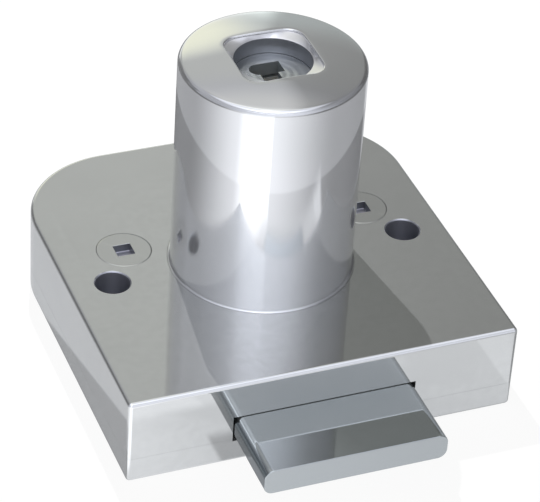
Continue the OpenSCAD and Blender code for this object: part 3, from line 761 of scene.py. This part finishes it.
def case_shell(finish):
    """Box of the lock: plate and walls in one, bosses and guide ribs inside, round borders, clean holes."""
    shell = plate_outline("case_shell", PARTING, 0)
    round_border(shell, 0, EDGE)
    round_border(shell, PARTING, 0.03, 2)
    hollow = plate_outline("hollow", PARTING - 1, -FACE_T, WALL)
    top, sides = -FACE_T + 0.2, (-1, 1)
    ribs = [rod("boss", s * HOLE_X, HOLE_Y, PARTING, top, 4.0, 64) for s in sides]
    ribs += [rod("boss", s * HEAD_X, HEAD_Y, PARTING, top, 3.95, 64) for s in sides]
    ribs += [rod("boss", s * SPIGOT_X, SPIGOT_Y, PARTING, top, 3.3, 48) for s in sides]
    for s in sides:
        near, far = sorted((s * GUIDE_X, s * (GUIDE_X + GUIDE_T)))
        ribs.append(block("guide", near, far, -20.2, 24.2, PARTING, top))
    for rib in ribs:
        cut(hollow, rib)
    cut(shell, hollow)
    cut(shell, rod("barrel_hole", 0, 0, -4, 1, 11.25, 144))
    cut(shell, block("bolt_slot", -GUIDE_X, GUIDE_X, -23, -19.5, PARTING - 1, SLOT_TOP))
    for s in sides:
        cut(shell, rod("mounting_hole", s * HOLE_X, HOLE_Y, -9, 1, HOLE_R, 64))
        cut(shell, rod("hole_mouth", s * HOLE_X, HOLE_Y, -0.14, 0.15, HOLE_R, 64, top=HOLE_R + 0.29))
        cut(shell, rod("head_seat", s * HEAD_X, HEAD_Y, -HEAD_T, 1, HEAD_R + 0.05, 96))
        cut(shell, rod("screw_way", s * HEAD_X, HEAD_Y, -9, 0, 1.75, 48))
        cut(shell, rod("spigot_seat", s * SPIGOT_X, SPIGOT_Y, -9, -5.5, SPIGOT_R + 0.05, 48))
        for sy in (-1, 1):
            cut(shell, rod("ear_hole", s * EAR_X, sy * EAR_Y, -3, -0.55, 1.22, 32))
    smooth(shell, 30)
    dress(shell, finish, "case", "lock_case")


def cover_plate(finish):
    """Back cover: round border, bolt's channel, hub bearing, countersinks, screw holes and spigots."""
    plate = plate_outline("cover_plate", BACK, PARTING)
    round_border(plate, BACK, EDGE)
    cut(plate, block("channel", -GUIDE_X, GUIDE_X, -23, 22.3, PARTING - 0.3, PARTING + 1))
    cut(plate, rod("hub_bearing", 0, 0, -9.9, -7, HUB_R))
    for s in (-1, 1):
        cut(plate, rod("mounting_hole", s * HOLE_X, HOLE_Y, -12, -7, HOLE_R, 64))
        cut(plate, rod("countersink", s * HOLE_X, HOLE_Y, BACK - 0.01, BACK + 1.9, 4.01, top=HOLE_R))
        cut(plate, rod("screw_hole", s * HEAD_X, HEAD_Y, -12, -7, 1.62, 48))
        peg = rod("spigot", s * SPIGOT_X, SPIGOT_Y, PARTING - 0.5, SPIGOT_TOP, SPIGOT_R, 48)
        bpy.ops.object.mode_set(mode="EDIT")
        choose(peg, "EDGE", lambda e: all(v.co.z / MM > SPIGOT_TOP - 0.1 for v in e.verts))
        bpy.ops.mesh.bevel(offset=0.25 * MM, segments=2)
        bpy.ops.object.mode_set(mode="OBJECT")
        cut(plate, peg, "UNION")
    smooth(plate, 30)
    dress(plate, finish, "case", "back_cover")


def screw_loops():
    """Square socket, flat head with a broken rim, threaded shank and point."""
    loops = [soft_square(half, corner, z, 96) for half, corner, z in (
        (1.02, 0.06, -1.1), (1.075, 0.06, -1.04), (1.075, 0.06, -0.05), (1.11, 0.08, 0.0), (1.16, 0.12, 0.0))]
    under = -HEAD_T + 0.02
    loops += [ring(radius, z, 96) for radius, z in (
        (2.0, 0), (HEAD_R - 0.09, 0), (HEAD_R - 0.07, 0), (HEAD_R - 0.02, -0.02), (HEAD_R, -0.1),
        (HEAD_R, -1.8), (HEAD_R - 0.06, under), (SHANK_R, under))]
    z = -2.4
    while z > -10.6:
        loops += [ring(SHANK_R, z, 96), ring(THREAD_R, z - 0.14, 96), ring(THREAD_R, z - 0.2, 96)]
        z -= THREAD_PITCH
    return loops + [ring(SHANK_R, -10.75, 96), ring(1.3, -11.0, 96)]


def socket_screws(finish):
    """Two flush screws, one each side of the barrel."""
    pair = []
    for s in (-1, 1):
        loops = [[(x + s * HEAD_X, y + HEAD_Y, z) for x, y, z in loop] for loop in screw_loops()]
        pair.append(loft("screw", loops, cap_first=True, cap_last=True))
    piece = join(pair, "socket_screws")
    smooth(piece)
    dress(piece, finish, "case", "cover_screws")


def bolt_bar(finish):
    """Flat bolt with four round long edges, a broken end, the window of the pinion and its rack."""
    bar = block("bolt_bar", -BOLT_X, BOLT_X, BOLT_END, BOLT_TAIL, BOLT_LO, BOLT_TOP)
    bpy.ops.object.mode_set(mode="EDIT")
    choose(bar, "EDGE", lambda e: abs(e.verts[0].co.y - e.verts[1].co.y) > 10 * MM)
    bpy.ops.mesh.bevel(offset=BOLT_ROUND * MM, segments=12)
    choose(bar, "EDGE", lambda e: all(abs(v.co.y / MM - BOLT_END) < 1e-3 for v in e.verts))
    bpy.ops.mesh.bevel(offset=0.1 * MM, segments=3)
    bpy.ops.object.mode_set(mode="OBJECT")
    window = (WINDOW_X0, WINDOW_X1, WINDOW_Y0, WINDOW_Y1)
    cut(bar, block("window", *window, BOLT_LO - 1, BOLT_TOP + 1))
    teeth = []
    for k in range(-4, 2):
        y = k * RACK_PITCH
        tooth = block("tooth", TOOTH_ROOT, TOOTH_TIP, y - TOOTH_HALF, y + TOOTH_HALF, BOLT_LO, BOLT_TOP)
        bpy.ops.object.mode_set(mode="EDIT")
        choose(tooth, "FACE", lambda f: middle(f).x > TOOTH_TIP - 0.1)
        bpy.ops.transform.resize(value=(1, 0.43, 1))
        bpy.ops.object.mode_set(mode="OBJECT")
        teeth.append(tooth)
    piece = join([bar] + teeth, "bolt_bar")
    smooth(piece, 30)
    dress(piece, finish, "bolt", "dead_bolt")


bpy.context.scene.view_settings.view_transform = "Standard"
photo_camera()
studio_world()
pale_floor()
studio_lamps()

# a painted highlight lightens the case's round front edge
# painted shade darkens the walls and mouths of the mounting holes
case_finish = metal(
    "nickel_case", (0.71, 0.72, 0.715, 1), (0.69, 0.70, 0.695, 1), 0.03, bump=0.004,
    painted_light_and_finish=[(holes_painted_shade, (0.46, 0.47, 0.52, 1), 0.3), (front_edge_painted_highlight, (0.87, 0.88, 0.89, 1), 0.0)])
# the key well's wall is painted dark as shade
# the recess's slope is rougher and painted a little lighter as sheen
barrel_finish = metal(
    "nickel_barrel", (0.76, 0.765, 0.78, 1), (0.74, 0.75, 0.76, 1), 0.03, bump=0.004,
    painted_light_and_finish=[(on_foot, (0.75, 0.757, 0.77, 1), 0.11), (rough_slope_painted_sheen, (0.80, 0.80, 0.82, 1), 0.3),
          (well_painted_shade, (0.30, 0.31, 0.335, 1), 0.04)])
# the bolt's end is painted darker as shade
# the bolt's long sides are painted dark as shade
bolt_finish = metal(
    "nickel_bolt", (0.61, 0.65, 0.66, 1), (0.59, 0.63, 0.64, 1), 0.035, bump=0.004,
    painted_light_and_finish=[(bolt_sides_painted_shade, (0.10, 0.118, 0.128, 1), 0.03), (bolt_end_painted_shade, (0.49, 0.52, 0.53, 1), 0.06)])
# the sockets' walls are painted dark as shade
screw_finish = metal(
    "nickel_screws", (0.68, 0.69, 0.68, 1), (0.66, 0.67, 0.66, 1), 0.045,
    painted_light_and_finish=[(socket_painted_shade, (0.22, 0.23, 0.25, 1), 0.25), (socket_floor, (0.62, 0.62, 0.68, 1), 0.1)])
bare = dict(metallic=0.95, smudge=0.1, bump=0.1)
brass = metal("machined_brass", (0.74, 0.57, 0.28, 1), (0.66, 0.49, 0.22, 1), 0.22, grain=2.0, **bare)
stamped_brass = metal("stamped_brass", (0.76, 0.60, 0.33, 1), (0.68, 0.52, 0.26, 1), 0.3,
                      metallic=0.95, grain=1.5, smudge=0.1, bump=0.12)
steel = metal("ground_steel", (0.56, 0.57, 0.58, 1), (0.48, 0.49, 0.50, 1), 0.24, grain=2.5, **bare)
pale_steel = metal("pale_steel", (0.80, 0.82, 0.82, 1), (0.74, 0.76, 0.76, 1), 0.5,
                   metallic=0.6, grain=2.5, smudge=0.1, bump=0.1)
zinc = metal("zinc_plated_steel", (0.50, 0.50, 0.52, 1), (0.40, 0.40, 0.43, 1), 0.32, grain=2.5, **bare)
spring_steel = metal("blackened_spring_steel", (0.10, 0.10, 0.11, 1), (0.06, 0.06, 0.07, 1), 0.35,
                     grain=2.5, **bare)
# the keyway's walls are painted darker as shade
turned_steel = metal("turned_guard_steel", (0.74, 0.77, 0.78, 1), (0.68, 0.71, 0.72, 1), 0.2,
                     metallic=0.9, grain=2.5, smudge=0.04, bump=0.5, turned=0.9,
                     painted_light_and_finish=[(keyway_painted_shade, (0.42, 0.45, 0.46, 1), 0.4)])

barrel(barrel_finish)
case_shell(case_finish)
cover_plate(case_finish)
socket_screws(screw_finish)
bolt_bar(bolt_finish)

FINISHES = {
    "lock_core": brass, "keyway_guard": turned_steel, "detainer_disc_1": pale_steel, "disc_spacers": steel,
    "sidebar": steel, "return_bar": steel, "core_washer": zinc, "core_circlip": spring_steel,
    "bolt_pinion": brass, "pinion_screw": zinc, "flange_screws": zinc}
for name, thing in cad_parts.items():
    usual = stamped_brass if name.startswith("detainer_disc") else case_finish
    thing.data.materials.clear()
    thing.data.materials.append(FINISHES.get(name, usual))
